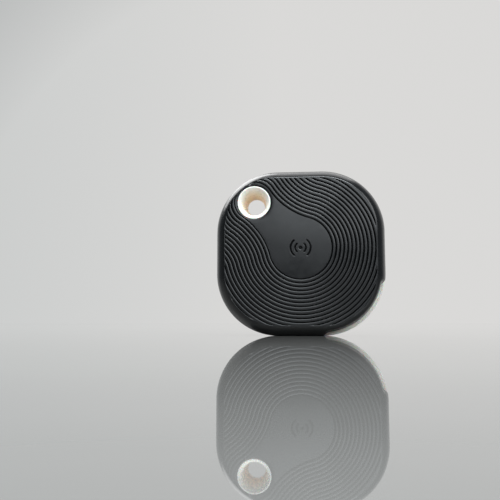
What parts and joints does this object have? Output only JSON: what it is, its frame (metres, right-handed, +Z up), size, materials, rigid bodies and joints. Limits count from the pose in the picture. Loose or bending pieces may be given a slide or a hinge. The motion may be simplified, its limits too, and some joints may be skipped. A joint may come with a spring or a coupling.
{
  "type": "bluetooth tracker tag",
  "caption": "Rounded-square Bluetooth tracker tag with a ribbed black press face, an ivory corner eyelet for a keyring, and a clip-on back over a coin cell.",
  "frame": {"origin": "centre of the tag's box, on the surface that the tag stands on with its lower edge", "axes": "+X to the right as the press face is seen, +Y from the press face through the tag to its flat back, +Z up towards the edge beside the keyring eyelet"},
  "size_m": [0.036, 0.0098, 0.0354],
  "materials": {
    "black_elastomer": "satin black silicone rubber",
    "ivory_plastic": "ivory ABS, fine satin",
    "black_plastic": "black moulded plastic",
    "board_green": "green solder mask",
    "spring_steel": "sheet spring steel",
    "cell_steel": "nickel-plated steel",
    "brass": "brass sheet",
    "nylon": "black nylon seal",
    "silicone": "grey silicone",
    "ceramic": "fired ceramic",
    "capacitor_tan": "tan ceramic capacitor",
    "led_clear": "clear LED resin"
  },
  "bodies": {
    "root": {"cover_skin": "black_elastomer", "inner_frame": "ivory_plastic", "keyring_eyelet": "ivory_plastic", "eyelet_seal": "silicone", "battery_holder": "black_plastic", "cell_can": "cell_steel", "cell_seal": "nylon", "cell_cap": "cell_steel", "positive_contact": "spring_steel", "negative_contact": "spring_steel", "main_board": "board_green", "switch_base": "black_plastic", "switch_cover": "spring_steel", "switch_dome": "spring_steel", "buzzer_case": "black_plastic", "buzzer_diaphragm": "brass", "radio_chip": "black_plastic", "main_crystal": "cell_steel", "slow_crystal": "cell_steel", "chip_antenna": "ceramic", "status_led": "led_clear", "power_inductor": "black_plastic", "switch_terminal_1": "spring_steel", "switch_terminal_2": "spring_steel", "switch_terminal_3": "spring_steel", "switch_terminal_4": "spring_steel", "capacitor_1": "capacitor_tan", "capacitor_2": "capacitor_tan", "capacitor_3": "capacitor_tan", "capacitor_4": "capacitor_tan", "capacitor_5": "capacitor_tan", "capacitor_6": "capacitor_tan", "resistor_1": "black_plastic", "resistor_2": "black_plastic", "resistor_3": "black_plastic", "resistor_4": "black_plastic"},
    "button": {"press_face": "black_elastomer", "button_plate": "ivory_plastic"},
    "plunger": {"switch_plunger": "black_plastic"},
    "back": {"rear_cover": "ivory_plastic", "rear_gasket": "silicone"}
  },
  "joints": [
    {"name": "button_press", "type": "slide", "parent": "root", "child": "button", "axis": [0, 1, 0], "range_m": [0, 0.0003], "stiffness_N_per_m": 8000},
    {"name": "plunger_travel", "type": "slide", "parent": "root", "child": "plunger", "axis": [0, 1, 0], "range_m": [0, 0.0003], "deforming": ["switch_dome"]},
    {"name": "back_lift_off", "type": "slide", "parent": "root", "child": "back", "axis": [0, 1, 0], "range_m": [0, 0.012]}
  ],
  "couplings": [
    {"joint": "plunger_travel", "follows": "button_press", "ratio": 1}
  ]
}
